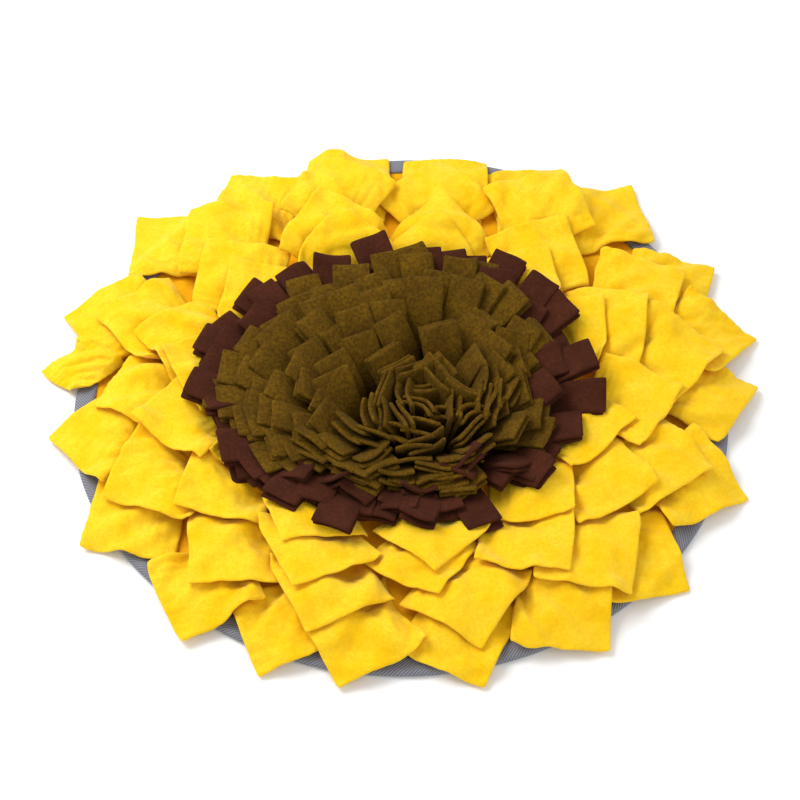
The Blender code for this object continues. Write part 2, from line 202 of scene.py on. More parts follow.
def fleece(s):
    finish, tree, shader = newMaterial(s["name"])
    place = addNode(tree, "ShaderNodeTexCoord")
    cloud = addNode(tree, "ShaderNodeTexNoise", None,
                    {"Scale": 1 / s["cloud"], "Detail": 3, "Roughness": 0.6},
                    {"Vector": (place, "Object")})
    nap = addNode(tree, "ShaderNodeTexNoise", None,
                  {"Scale": 1 / s["nap"], "Detail": 4, "Roughness": 0.65},
                  {"Vector": (place, "Object")})
    tuft = addNode(tree, "ShaderNodeTexVoronoi", {"feature": "SMOOTH_F1"},
                   {"Scale": 1 / (s["tuft"] * s["nap"]), "Smoothness": 0.6},
                   {"Vector": (place, "Object")})
    broad = addNode(tree, "ShaderNodeMapRange", None,
                    {"From Min": s["cloudRange"][0], "From Max": s["cloudRange"][1]},
                    {"Value": (cloud, "Fac")})
    body = addNode(tree, "ShaderNodeMix", {"data_type": "RGBA"},
                   {"A": hexColour(s["deep"]), "B": hexColour(s["pale"])},
                   {"Factor": (broad, "Result")})
    fine = addNode(tree, "ShaderNodeMapRange", None,
                   {"From Min": s["napRange"][0], "From Max": s["napRange"][1],
                    "To Max": s["napShade"]},
                   {"Value": (nap, "Fac")})
    colour = addNode(tree, "ShaderNodeMix", {"data_type": "RGBA"},
                     {"B": hexColour(s["shade"])},
                     {"A": (body, "Result"), "Factor": (fine, "Result")})
    tree.links.new(colour.outputs["Result"], shader.inputs["Base Color"])
    lump = addNode(tree, "ShaderNodeBump", {"invert": True},
                   {"Strength": s["tuftBump"], "Distance": s["napHeight"]},
                   {"Height": (tuft, "Distance")})
    bump = addNode(tree, "ShaderNodeBump", None,
                   {"Strength": s["napBump"], "Distance": s["napHeight"]},
                   {"Height": (nap, "Fac"), "Normal": (lump, "Normal")})
    tree.links.new(bump.outputs["Normal"], shader.inputs["Normal"])
    shader.inputs["Roughness"].default_value = s["roughness"]
    shader.inputs["Specular IOR Level"].default_value = s["specular"]
    shader.inputs["Sheen Weight"].default_value = s["sheen"]
    shader.inputs["Sheen Roughness"].default_value = s["sheenRoughness"]
    shader.inputs["Sheen Tint"].default_value = hexColour(s["sheenTint"])
    if s["glow"]:
        shader.inputs["Subsurface Weight"].default_value = s["glow"]
        shader.inputs["Subsurface Radius"].default_value = s["glowSpread"]
        shader.inputs["Subsurface Scale"].default_value = s["glowReach"]
    return finish


def twill(s):
    finish, tree, shader = newMaterial(s["name"])
    place = addNode(tree, "ShaderNodeUVMap", {"uv_map": "tape"})
    turned = addNode(tree, "ShaderNodeMapping", None, {"Rotation": (0, 0, s["slant"])},
                     {"Vector": (place, "UV")})
    # the rib repeats once in a turn of the wave, which is 2 pi / 20 long at a scale of 1
    rib = addNode(tree, "ShaderNodeTexWave", {"wave_type": "BANDS", "bands_direction": "X"},
                  {"Scale": 2 * math.pi / 20 / s["rib"], "Distortion": s["ribWaver"],
                   "Detail": 1, "Detail Scale": 1.5},
                  {"Vector": (turned, "Vector")})
    colour = addNode(tree, "ShaderNodeMix", {"data_type": "RGBA"},
                     {"A": hexColour(s["gap"]), "B": hexColour(s["yarn"])},
                     {"Factor": (rib, "Fac")})
    bump = addNode(tree, "ShaderNodeBump", None,
                   {"Strength": s["ribBump"], "Distance": s["ribHeight"]},
                   {"Height": (rib, "Fac")})
    tree.links.new(colour.outputs["Result"], shader.inputs["Base Color"])
    tree.links.new(bump.outputs["Normal"], shader.inputs["Normal"])
    shader.inputs["Roughness"].default_value = s["roughness"]
    shader.inputs["Sheen Weight"].default_value = s["sheen"]
    return finish


yellow = fleece(yellowFleece)
baseYellowPaintedShade = fleece(baseFleeceWithPaintedShade)
brown = fleece(brownFleece)
olive = fleece(oliveFleece)
grey = twill(greyTwill)
print("finishes ready")


# the rim is not quite round: lobes, share of the radius, bearing
rimWaves = ((2, 0.010, 40), (3, 0.008, 310), (5, 0.004, 120))
baseSettings = {
    "corners": 160,
    "thickness": 3.0 * mm,
    # radius and height of the cloth's middle, from the centre out
    "profile": ((60 * mm, 1.5 * mm), (120 * mm, 1.5 * mm), (180 * mm, 1.5 * mm),
                (222 * mm, 1.5 * mm), (233 * mm, 3.0 * mm), (246.5 * mm, 3.0 * mm)),
}
bindingSettings = {
    "corners": 320,
    "thickness": 1.2 * mm,
    # radius and height of the tape's middle, from its lower edge round the fold to its upper one
    "profile": ((235 * mm, 0.6 * mm), (239 * mm, 0.6 * mm), (244 * mm, 0.6 * mm),
                (247.5 * mm, 0.7 * mm), (249.2 * mm, 1.5 * mm), (249.8 * mm, 3.0 * mm),
                (249.2 * mm, 4.5 * mm), (247.5 * mm, 5.3 * mm), (244 * mm, 5.5 * mm),
                (239 * mm, 5.45 * mm), (235 * mm, 5.4 * mm)),
}


def rimScale(angle):
    return 1 + sum(share * np.cos(n * (angle - math.radians(b))) for n, share, b in rimWaves)


def growRings(profile):
    # in edit mode: the open edge is extruded, scaled and lifted to each next radius and height
    for (radius, height), (nextRadius, nextHeight) in zip(profile, profile[1:]):
        bpy.ops.mesh.extrude_region_move()
        grow = nextRadius / radius
        bpy.ops.transform.resize(value=(grow, grow, 1), center_override=(0, 0, 0))
        bpy.ops.transform.translate(value=(0, 0, nextHeight - height))


def finishCloth(piece, name, finish, thickness, subdivisions, clamp=0.0):
    # even thickness to both sides of the sheet, and soft edges: a clamp stops spikes at hard folds
    piece.name = name
    piece.data.name = name
    piece.data.materials.clear()
    piece.data.materials.append(finish)
    solid = piece.modifiers.new("thickness", "SOLIDIFY")
    solid.thickness = thickness
    solid.offset = 0
    solid.use_even_offset = True
    solid.thickness_clamp = clamp
    if subdivisions:
        soft = piece.modifiers.new("soft", "SUBSURF")
        soft.levels = subdivisions
        soft.render_levels = subdivisions
    for modifier in [m.name for m in piece.modifiers]:
        bpy.ops.object.modifier_apply(modifier=modifier)
    piece.data.shade_smooth()


def followRim(mesh):
    for vertex in mesh.vertices:
        scale = rimScale(math.atan2(vertex.co.y, vertex.co.x))
        vertex.co.x *= scale
        vertex.co.y *= scale


def makeBase(s):
    deselectAll()
    radius, height = s["profile"][0]
    bpy.ops.mesh.primitive_circle_add(vertices=s["corners"], radius=radius, fill_type="TRIFAN",
                                      location=(0, 0, 0))
    base = bpy.context.object
    bpy.ops.object.mode_set(mode="EDIT")
    bpy.ops.mesh.select_mode(type="VERT")
    bpy.ops.transform.translate(value=(0, 0, height))
    bpy.ops.mesh.select_all(action="DESELECT")
    bpy.ops.object.mode_set(mode="OBJECT")
    for vertex in base.data.vertices:
        vertex.select = vertex.co.xy.length > radius / 2  # the open edge, not the centre
    for edge in base.data.edges:
        edge.select = all(base.data.vertices[k].select for k in edge.vertices)
    for face in base.data.polygons:
        face.select = False
    bpy.ops.object.mode_set(mode="EDIT")
    bpy.ops.mesh.select_mode(type="EDGE")
    growRings(s["profile"])
    bpy.ops.mesh.select_all(action="SELECT")
    bpy.ops.mesh.normals_make_consistent(inside=False)
    bpy.ops.object.mode_set(mode="OBJECT")
    followRim(base.data)
    # the base cloth takes the yellow fleece deepened to orange: painted shade for the gaps between
    # petals
    finishCloth(base, "baseCloth", baseYellowPaintedShade, s["thickness"], 0)
    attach(base, "root")
    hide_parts("base_cloth")


def makeBinding(s):
    deselectAll()
    radius, height = s["profile"][0]
    bpy.ops.mesh.primitive_circle_add(vertices=s["corners"], radius=radius, location=(0, 0, 0))
    tape = bpy.context.object
    bpy.ops.object.mode_set(mode="EDIT")
    bpy.ops.mesh.select_mode(type="EDGE")
    bpy.ops.mesh.select_all(action="SELECT")
    bpy.ops.transform.translate(value=(0, 0, height))
    growRings(s["profile"])
    bpy.ops.object.mode_set(mode="OBJECT")
    # the tape's own length and width, in metres, for the weave
    rim = max(reach for reach, rise in s["profile"])
    width = [0.0]
    for (r0, h0), (r1, h1) in zip(s["profile"], s["profile"][1:]):
        width.append(width[-1] + math.hypot(r1 - r0, h1 - h0))
    mesh = tape.data
    uv = mesh.uv_layers.new(name="tape")
    for face in mesh.polygons:
        angles = [math.atan2(mesh.vertices[k].co.y, mesh.vertices[k].co.x) for k in face.vertices]
        turnOver = max(angles) - min(angles) > math.pi
        for loop, k, angle in zip(face.loop_indices, face.vertices, angles):
            co = mesh.vertices[k].co
            spot = (co.xy.length, co.z)
            step = min(range(len(width)), key=lambda n: math.dist(spot, s["profile"][n]))
            if turnOver and angle < 0:
                angle += 2 * math.pi
            uv.data[loop].uv = (angle * rim, width[step])
    followRim(mesh)
    finishCloth(tape, "edgeBinding", grey, s["thickness"], 0)
    bpy.ops.object.mode_set(mode="EDIT")
    bpy.ops.mesh.select_all(action="SELECT")
    bpy.ops.mesh.normals_make_consistent(inside=False)
    bpy.ops.object.mode_set(mode="OBJECT")
    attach(tape, "root")
    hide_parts("edge_binding")


makeBase(baseSettings)
makeBinding(bindingSettings)
print("base cloth and binding ready")


# petals: flat squares, gathered at one corner or side, that fall until they rest
petalSettings = {
    "cells": 20,  # along each side of a petal
    "thickness": 2.4 * mm,
    "clamp": 1.5,  # on the thickness at hard folds
    "clear": 0.4 * mm,  # kept between two layers of cloth
    "slack": 1.08,  # length of cloth for each length from the seam to the tip
    "mostOfCloth": 0.97,  # share of the cloth's length that may lie beyond the seam
    "rootWidth": 0.5,  # share of its width that a petal keeps at the seam
    "sideRoot": 0.8,  # and where one of its sides is outside
    "gather": (0.10, 0.58),  # where the gathers start and stop to open, as shares of the diagonal
    "sewn": 0.8,  # cells beyond the seam that stay where they are
    "scrap": 0.72,  # size of a scrap for a whole petal's
    "sideWidth": 0.97,  # share of its width that a petal takes up where it is open
    "arch": (7 * mm, 12 * mm),  # heights of the cloth's folds before it falls
    "archSkew": 0.75,
    "droop": (1 * mm, 9 * mm),
    "lean": (-4 * mm, 4 * mm),
    "pleat": (3.5 * mm, 6 * mm),
    "pleatTurn": (6.0, 9.0),
    "crease": (1.2 * mm, 2.4 * mm),  # finer pleats that run out before the tip
    "creaseTurn": (13, 19),
    "creaseFan": 0.3,
    "creaseEnd": 0.88,
    "tip": (-4 * mm, 4 * mm),
    "tipStart": 0.6,
    "edge": (2.5 * mm, 6 * mm),  # how far the cut edges turn down
    "edgeSharp": 6,
    "wave": (1 * mm, 5.5 * mm),  # waves along the cut edges
    "waveCount": (0.8, 1.7),
    "innerPart": 0.3,  # the ground under these shares of a petal gives the height it starts at
    "outerPart": 0.55,
    "level": 70,  # percentage of the outer ground that the cloth starts above
    "slopeEnd": 0.6,
    "rootForm": 0.5,  # share of its folds that the sewn part has
    "steps": 46,
    "rounds": 8,
    "fall": 0.65 * mm,  # how far the cloth sinks in the first step, and less in each next one
    "slowing": 0.95,
    "clearings": 6,  # last looks for anything that shows through, and points for each cell in them
    "clearFine": 4,
    "mapFine": 8,  # points for each cell when the laid cloth is added to the ground
    "leastFlat": 0.45,  # limits how much thicker steep cloth counts there
    "stretch": 0.9,  # firmness of the threads, of the diagonals and of a narrow and a wide bend
    "shear": 0.4,
    "bend": 0.6,
    "sweep": 0.5,
    "memory": 0.8,  # share of its folds that the brushed cloth keeps by itself
    "ridge": (8 * mm, 15 * mm),  # puffed ridges between the gathers, after the cloth has settled
    "ridgeTurn": (4.4, 7.2),
    "ridgeFan": (-0.3, 0.3),
    "ridgeRound": 0.7,  # below 1, so ridges are round and the valleys between them narrow
    "ridgeBeat": (0.65, 0.35, 2.3),  # their heights differ: middle, swing, how fast it goes
    "ridgeStart": 0.42,  # share of the petal that the next ring hides
    "ridgeRise": 1.5,
    "ridgeEnd": (0.8, 1.05),
    "flounce": (4 * mm, 9 * mm),  # the free edges lift off in waves
    "flounceCount": (0.9, 1.9),
    "flounceStart": 0.35,
    "flounceSharp": 3,
    "scrapRelief": 0.3,  # share of these that a scrap gets
    "hold": 0.15,  # how firmly tip and side corners keep their places in plan
    "seed": 11,
}
Petal = namedtuple("Petal", "bearing reach turn width kind", defaults=("corner",))
Ring = namedtuple("Ring", "name node seam square halfway puff petals")
Lay = namedtuple("Lay", "plan u v edge along gathered pinned square")
# A ring has its seam's radius, the cut size, how many of its petals lie under the others, and how
# much its cloth puffs up. A petal has the bearing of its tip, its reach in mm, its turn and its share
# of the usual width. Most have a corner outside, two have a side there, and two scraps fill gaps.
rings = (
    Ring("petalOuter", "petal_outer", 186 * mm, 76 * mm, 10, 1.0, (
        Petal(140, 288, -5, 1.00),
        Petal(101, 250, -10, 0.92, "side"),
        Petal(61, 272, -6, 1.00),
        Petal(27, 282, 4, 0.86),
        Petal(1, 274, 12, 0.90),
        Petal(319, 272, 12, 1.00),
        Petal(282, 265, 10, 1.00),
        Petal(248, 272, 0, 0.85),
        Petal(211, 276, 1, 1.00),
        Petal(164, 282, 3, 1.00),
        Petal(122, 276, 0, 0.85),
        Petal(82, 245, 7, 0.92, "side"),
        Petal(49, 292, 7, 0.90),
        Petal(11, 285, -5, 0.80),
        Petal(339, 274, 7, 1.00),
        Petal(302, 273, 12, 1.00),
        Petal(260, 266, -9, 1.00),
        Petal(235, 275, 16, 0.90),
        Petal(189, 274, -12, 1.00),
        Petal(176, 288, 9, 0.45, "scrap"),
    )),
    Ring("petalSecond", "petal_second", 156 * mm, 76 * mm, 7, 1.0, (
        Petal(134, 255, -1, 1.00),
        Petal(83, 240, 3, 1.00),
        Petal(26, 250, 0, 1.00),
        Petal(340, 244, 10, 1.00),
        Petal(283, 241, -1, 1.00),
        Petal(230, 240, -4, 1.00),
        Petal(185, 239, 12, 0.90),
        Petal(106, 247, 0, 1.00),
        Petal(60, 259, 7, 1.00),
        Petal(7, 251, 0, 1.00),
        Petal(310, 252, -2, 1.00),
        Petal(253, 238, -3, 1.00),
        Petal(206, 247, -1, 1.00),
        Petal(165, 252, 9, 1.00),
    )),
    Ring("petalThird", "petal_third", 128 * mm, 74 * mm, 7, 0.85, (
        Petal(138, 214, -11, 1.00),
        Petal(81, 196, 5, 1.00),
        Petal(22, 209, 13, 1.00),
        Petal(331, 214, 14, 1.00),
        Petal(277, 202, 8, 1.00),
        Petal(216, 209, -5, 1.00),
        Petal(168, 216, 4, 1.00),
        Petal(110, 206, -5, 1.00),
        Petal(52, 212, 8, 1.00),
        Petal(357, 214, 16, 1.00),
        Petal(303, 216, 6, 1.00),
        Petal(248, 212, 2, 1.00),
        Petal(192, 212, -7, 1.00),
    )),
    Ring("petalInner", "petal_inner", 108 * mm, 72 * mm, 5, 0.6, (
        Petal(139, 184, -12, 1.00),
        Petal(80, 172, -2, 1.00),
        Petal(25, 176, 16, 1.00),
        Petal(314, 180, 3, 1.00),
        Petal(241, 184, 0, 1.00),
        Petal(173, 190, -10, 1.00),
        Petal(108, 180, -7, 1.00),
        Petal(49, 179, 7, 1.00),
        Petal(346, 182, 12, 1.00),
        Petal(277, 184, -6, 1.00),
        Petal(208, 168, -8, 0.80, "scrap"),
    )),
)

cell = 1.0 * mm  # of the map of heights that the cloth falls on
mapHalf = 320  # cells from its middle to its edge
groundSettings = {
    "base": 3.0 * mm,  # height of the base cloth's upper side
    "tape": 6.0 * mm,  # and of the binding's
    "tapeStart": 230 * mm,
    "tapeEnd": 252 * mm,
}


def bareGround(s):
    # heights of the floor, the base cloth and its binding
    place = (np.arange(2 * mapHalf + 1) - mapHalf) * cell
    x, y = np.meshgrid(place, place, indexing="ij")
    radius = np.hypot(x, y)
    wave = rimScale(np.arctan2(y, x))
    within = radius < s["tapeEnd"] * wave
    top = np.zeros_like(radius)
    top[within] = s["base"]
    top[within & (radius > s["tapeStart"] * wave)] = s["tape"]
    return top


def cellsOf(points):
    i = np.clip(np.rint(points[..., 0] / cell).astype(int) + mapHalf, 0, 2 * mapHalf)
    j = np.clip(np.rint(points[..., 1] / cell).astype(int) + mapHalf, 0, 2 * mapHalf)
    return i, j


def heightAt(top, points):
    return top[cellsOf(points)]


def widened(top):
    wide = top
    for axis in (0, 1):
        for shift in (-1, 1):
            wide = np.maximum(wide, np.roll(top, shift, axis))
    return wide


# steps along and across the cloth from a point to its partner, and which firmness holds the pair
threads = (
    (1, 0, "stretch"), (0, 1, "stretch"), (1, 1, "shear"), (1, -1, "shear"),
    (2, 0, "bend"), (0, 2, "bend"), (5, 0, "sweep"), (0, 5, "sweep"),
)


def threadPairs(count, di, dj):
    # the pairs of points di and dj apart, in groups that share no point
    every = slice(None)
    low, high = slice(max(-dj, 0), count - max(dj, 0)), slice(max(dj, 0), count + min(dj, 0))
    groups = []
    stride = 2 * max(di, abs(dj))
    for start in range(stride):
        if di:
            a, b = slice(start, count - di, stride), slice(start + di, count, stride)
            groups.append(((every, a, low), (every, b, high)))
        else:
            a, b = slice(start, count - dj, stride), slice(start + dj, count, stride)
            groups.append(((every, every, a), (every, every, b)))
    return groups


def drawTogether(points, free, first, second, rest, firmness):
    # pulls or pushes pairs of points to the distance that they have in the flat cloth
    apart = points[second] - points[first]
    distance = np.linalg.norm(apart, axis=-1, keepdims=True)
    step = firmness * (1 - rest / distance) * apart / (free[first] + free[second] + 1e-9)
    points[first] += step * free[first]
    points[second] -= step * free[second]


def layPlan(ring, petal, s):
    # where each point of the square lies in plan before it falls, and what its folds depend on
    count = s["cells"] + 1
    a, b = np.meshgrid(np.linspace(0, 1, count), np.linspace(0, 1, count), indexing="ij")
    square = ring.square * (s["scrap"] if petal.kind == "scrap" else 1)
    if petal.kind == "side":
        u, v, length, half = a, 2 * b - 1, square, square / 2
    else:
        u, v, length, half = (a + b) / 2, a - b, square * math.sqrt(2), square / math.sqrt(2)
    bearing, facing = math.radians(petal.bearing), math.radians(petal.bearing + petal.turn)
    long = min(petal.reach * mm - ring.seam, length * s["mostOfCloth"] / s["slack"])
    seam = 1 - s["slack"] * long / length  # share of the cloth behind the seam
    out = np.array((math.cos(facing), math.sin(facing)))
    side = np.array((-out[1], out[0]))
    tip = np.array((math.cos(bearing), math.sin(bearing))) * petal.reach * mm
    share = (u - seam) / (1 - seam)
    keep = s["sideWidth"] * petal.width
    start, stop = s["gather"]
    narrow = s["sideRoot"] if petal.kind == "side" else s["rootWidth"]
    ease = np.clip((u - start) / (stop - start), 0, 1)
    gathered = narrow + (keep - narrow) * ease * ease * (3 - 2 * ease)
    plan = tip + (share[..., None] - 1) * long * out + (half * v * gathered)[..., None] * side
    edge = np.maximum(np.abs(2 * a - 1), np.abs(2 * b - 1))
    pinned = u <= seam + s["sewn"] / s["cells"]
    return Lay(plan, np.clip(share, 0, 1), v, edge, a - b, gathered / keep, pinned, square)


def drawn(dice, s, *names):
    # one value at random from each of these ranges
    return [dice.uniform(*s[name]) for name in names]


def foldForm(lay, dice, s):
    # heights of the petal's own folds: arched, its sides drooping, pleated where it is gathered, with
    # its cut edges turned down and waved
    arch, droop, lean, tip, pleat = drawn(dice, s, "arch", "droop", "lean", "tip", "pleat")
    phase = dice.uniform(0, 2 * math.pi)
    edge, wave, waves, turns = drawn(dice, s, "edge", "wave", "waveCount", "pleatTurn")
    crease, folds = drawn(dice, s, "crease", "creaseTurn")
    form = arch * np.sin(math.pi * lay.u ** s["archSkew"])
    form += pleat * np.sqrt(np.clip(1 - lay.gathered, 0, 1)) * np.cos(turns * lay.v + phase)
    fade = np.clip(1 - lay.u / s["creaseEnd"], 0, 1)
    form += crease * fade * np.cos(folds * lay.v * (1 + s["creaseFan"] * lay.v) + 2 * phase)
    form += lean * lay.v - droop * lay.v * lay.v
    form += tip * (np.clip(lay.u - s["tipStart"], 0, 1) / (1 - s["tipStart"])) ** 2
    form -= edge * lay.edge ** s["edgeSharp"]
    form += wave * lay.u * lay.edge ** 2 * np.sin(2 * math.pi * waves * lay.along + phase)
    return form


def ownRelief(lay, small, dice, s):
    # how far the settled cloth stands up by itself: puffed ridges that open out from the gathers, with
    # narrow valleys between them, and free edges that lift off in waves
    ridge, turns, end = drawn(dice, s, "ridge", "ridgeTurn", "ridgeEnd")
    phase = dice.uniform(0, 2 * math.pi)
    fan, flounce, waves = drawn(dice, s, "ridgeFan", "flounce", "flounceCount")
    middle, swing, beat = s["ridgeBeat"]
    folds = np.abs(np.sin(turns * lay.v * (1 + fan * lay.v) + phase)) ** s["ridgeRound"]
    folds *= middle + swing * np.sin(beat * turns * lay.v + 3 * phase)
    fade = np.clip(1 - lay.u / end, 0, 1) * np.clip(lay.u / s["ridgeStart"], 0, 1) ** s["ridgeRise"]
    relief = ridge * fade * folds
    rise = 0.5 + 0.5 * np.sin(2 * math.pi * waves * lay.along + 2 * phase)
    lifted = flounce * np.clip(lay.u - s["flounceStart"], 0, 1) * lay.edge ** s["flounceSharp"]
    relief += lifted * rise
    relief[lay.pinned] = 0
    return relief * (s["scrapRelief"] if small else 1)


def refined(points, times):
    # the same sheets with more points along each side
    count = points.shape[1]
    spots = np.linspace(0, count - 1, (count - 1) * times + 1)
    low = np.minimum(spots.astype(int), count - 2)
    part = (spots - low)[:, None]
    rows = points[:, low] * (1 - part)[None, :, None] + points[:, low + 1] * part[None, :, None]
    return rows[:, :, low] * (1 - part)[None, None] + rows[:, :, low + 1] * part[None, None]


def clearOf(points, ground, gap, times):
    # raises the cells that anything shows through
    fine = refined(points, times)
    short = heightAt(ground, fine) + gap - fine[..., 2]
    cells = points.shape[1] - 1
    worst = np.zeros((len(points), cells, cells))
    for a in range(times + 1):
        for b in range(times + 1):
            part = short[:, a:a + cells * times:times, b:b + cells * times:times]
            worst = np.maximum(worst, part)
    lift = np.zeros(points.shape[:3])
    for a in (0, 1):
        for b in (0, 1):
            view = lift[:, a:a + cells, b:b + cells]
            np.maximum(view, worst, out=view)
    points[..., 2] += lift


def fallAndRest(points, pinned, squares, goals, ground, s):
    # the cloth sinks a little at a time, keeps its size, and lies on what is under it
    count = points.shape[1]
    thread = squares[:, None, None, None] / s["cells"]
    free = np.where(pinned, 0.0, 1.0)[..., None]
    gap = s["thickness"] / 2 + s["clear"]
    support = widened(ground)
    pairs = []
    for di, dj, kind in threads:
        for first, second in threadPairs(count, di, dj):
            flat = thread * math.hypot(di, dj)
            if kind in ("bend", "sweep"):
                folded = np.linalg.norm(points[second] - points[first], axis=-1, keepdims=True)
                flat = flat + s["memory"] * np.minimum(folded - flat, 0)
            pairs.append((first, second, flat, s[kind]))
    fall = s["fall"]
    for step in range(s["steps"]):
        points[..., 2] -= fall * free[..., 0]
        for turn in range(s["rounds"]):
            for first, second, length, firmness in pairs:
                drawTogether(points, free, first, second, length, firmness)
            for (i, j), goal in goals:
                points[:, i, j, :2] += s["hold"] * (goal - points[:, i, j, :2])
            np.maximum(points[..., 2], heightAt(support, points) + gap, out=points[..., 2])
        fall *= s["slowing"]
    for turn in range(s["clearings"]):
        clearOf(points, support, gap, s["clearFine"])


def addToGround(points, used, ground, s):
    # the upper side of the laid cloth becomes the ground for the next
    times = s["mapFine"]
    fine = refined(points, times)
    normal = np.cross(np.gradient(fine, axis=1), np.gradient(fine, axis=2))
    flatness = np.abs(normal[..., 2]) / np.maximum(np.linalg.norm(normal, axis=-1), 1e-12)
    height = fine[..., 2] + s["thickness"] / 2 / np.maximum(flatness, s["leastFlat"])
    shown = np.repeat(np.repeat(used, times, axis=1), times, axis=2)
    shown = np.pad(shown, ((0, 0), (0, 1), (0, 1)), mode="edge")
    i, j = cellsOf(fine)
    np.maximum.at(ground, (i[shown], j[shown]), height[shown])


def sheetFrom(points, name, s):
    # a grid one metre wide takes the fallen cloth's shape
    cells = s["cells"]
    deselectAll()
    bpy.ops.mesh.primitive_grid_add(x_subdivisions=cells, y_subdivisions=cells, size=1,
                                    location=(0, 0, 0))
    piece = bpy.context.object
    for vertex in piece.data.vertices:
        i, j = round((vertex.co.x + 0.5) * cells), round((vertex.co.y + 0.5) * cells)
        vertex.co = points[i, j]
    finishCloth(piece, name, yellow, s["thickness"], 1, s["clamp"])
    return piece


def startHeights(lays, forms, ground, s):
    # over the ground from the seam to the tip, before the cloth sinks
    heights = []
    for lay, form in zip(lays, forms):
        below = heightAt(widened(ground), lay.plan)
        form = form - form.min()
        near = below[lay.u < s["innerPart"]].max()
        far = np.percentile(below[lay.u > s["outerPart"]], s["level"])
        height = near + (far - near) * np.clip(lay.u / s["slopeEnd"], 0, 1) + form
        height[lay.pinned] = (below + s["rootForm"] * form)[lay.pinned]
        heights.append(height + s["thickness"] / 2 + s["clear"])
    return heights


def nearestBelow(petal, lower):
    # the two petals of the ring below whose bearings are nearest
    def apart(k):
        turn = abs(lower.petals[k].bearing - petal.bearing) % 360
        return min(turn, 360 - turn)
    nearest = sorted(range(len(lower.petals)), key=apart)[:2]
    return [f"{lower.name}{k + 1:02d}" for k in nearest]


def makePetals(s):
    # each ring in two layers, from the outer ring in: returns the laid shapes and the ground on them
    ground = bareGround(groundSettings)
    dice = random.Random(s["seed"])
    shapes = []
    cells = s["cells"]
    corners = ((cells, cells), (cells, 0), (0, cells))  # the tip and the side corners
    lower = None
    for ring in rings:
        lays = [layPlan(ring, petal, s) for petal in ring.petals]
        forms = [ring.puff * foldForm(lay, dice, s) for lay in lays]
        for layer in (range(ring.halfway), range(ring.halfway, len(lays))):
            plans = np.array([lays[k].plan for k in layer])
            heights = startHeights([lays[k] for k in layer], [forms[k] for k in layer], ground, s)
            points = np.concatenate([plans, np.array(heights)[..., None]], axis=-1)
            pinned = np.array([lays[k].pinned for k in layer])
            squares = np.array([lays[k].square for k in layer])
            goals = [((i, j), plans[:, i, j]) for i, j in corners]
            fallAndRest(points, pinned, squares, goals, ground, s)
            for k, shape in zip(layer, points):
                small = ring.petals[k].kind == "scrap"
                shape[..., 2] += ring.puff ** 2 * ownRelief(lays[k], small, dice, s)
            used = np.array([~(p[:-1, :-1] & p[1:, 1:]) for p in pinned])
            addToGround(points, used, ground, s)
            for k, shape in zip(layer, points):
                name = f"{ring.name}{k + 1:02d}"
                piece = sheetFrom(shape, name, s)
                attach(piece, "root")
                if ring.petals[k].kind != "scrap":
                    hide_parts(f"{ring.node}_{k + 1:02d}")
                below = ["baseCloth", "edgeBinding"]
                if lower:
                    below = nearestBelow(ring.petals[k], lower)
                shapes.append(shape)
        lower = ring
        print(ring.name, "laid, highest", round(float(ground.max() / mm), 1), "mm")
    return shapes, ground


petalShapes, ground = makePetals(petalSettings)


# strips of fleece: doubled tabs that stand on a backing and lean away from the whorl
tabSettings = {
    "width": (26 * mm, 30 * mm),
    "rootWidth": 15 * mm,
    "widest": 0.5,  # share of its length where a tab reaches its width
    "thickness": 3.1 * mm,
    "apart": 0.52,  # thicknesses from the middle of a tab to the middle of each of its two layers
    "parting": (0.2 * mm, 3.0 * mm),  # how far the two layers part at their ends
    "shorter": (0, 0.05),
    "laidThickness": 4.8 * mm,  # of a whole tab, while it is being laid
    "laidAlong": (0, 0.25, 0.5, 0.75, 1),
    "gap": 0.2 * mm,
    "lift": 0.5 * mm,  # a tab that would cut another is raised by this, and its twist calmed
    "calm": 0.94,
    "attempts": 9,
    "backing": 5.5 * mm,  # height of the backing's upper side
    "backingTurns": 64,
    "backingRings": 5,
    "backingHole": 1 * mm,
    "sunk": 1.5 * mm,  # how far below it the tabs' roots end
    "rootMargin": 2 * mm,  # from the backing's edge to the nearest root
    "whorl": (20 * mm, -46 * mm),  # the point that the tabs lean away from
    "crumpled": 75 * mm,  # from the whorl to where the tabs become smooth
    "crumpleMore": 1.1,  # how much more crumpled the tabs are at the whorl
    "stray": (11, 48),  # degrees that tabs turn and twist at random, far from and at the whorl
    "along": (0, 0.14, 0.28, 0.42, 0.56, 0.70, 0.83, 0.94, 1.0),
    "across": (-1, -0.88, -0.3, 0.3, 0.88, 1),
    "trough": (-4.0 * mm, 4.0 * mm),
    "ripple": (0.5 * mm, 3.0 * mm),
    "rippleTurn": (3, 4),  # across and along the tab
    "curl": (-3.0 * mm, 4.0 * mm),  # of the whole cut end, and of one of its corners
    "corner": (-4.0 * mm, 5.0 * mm),
}
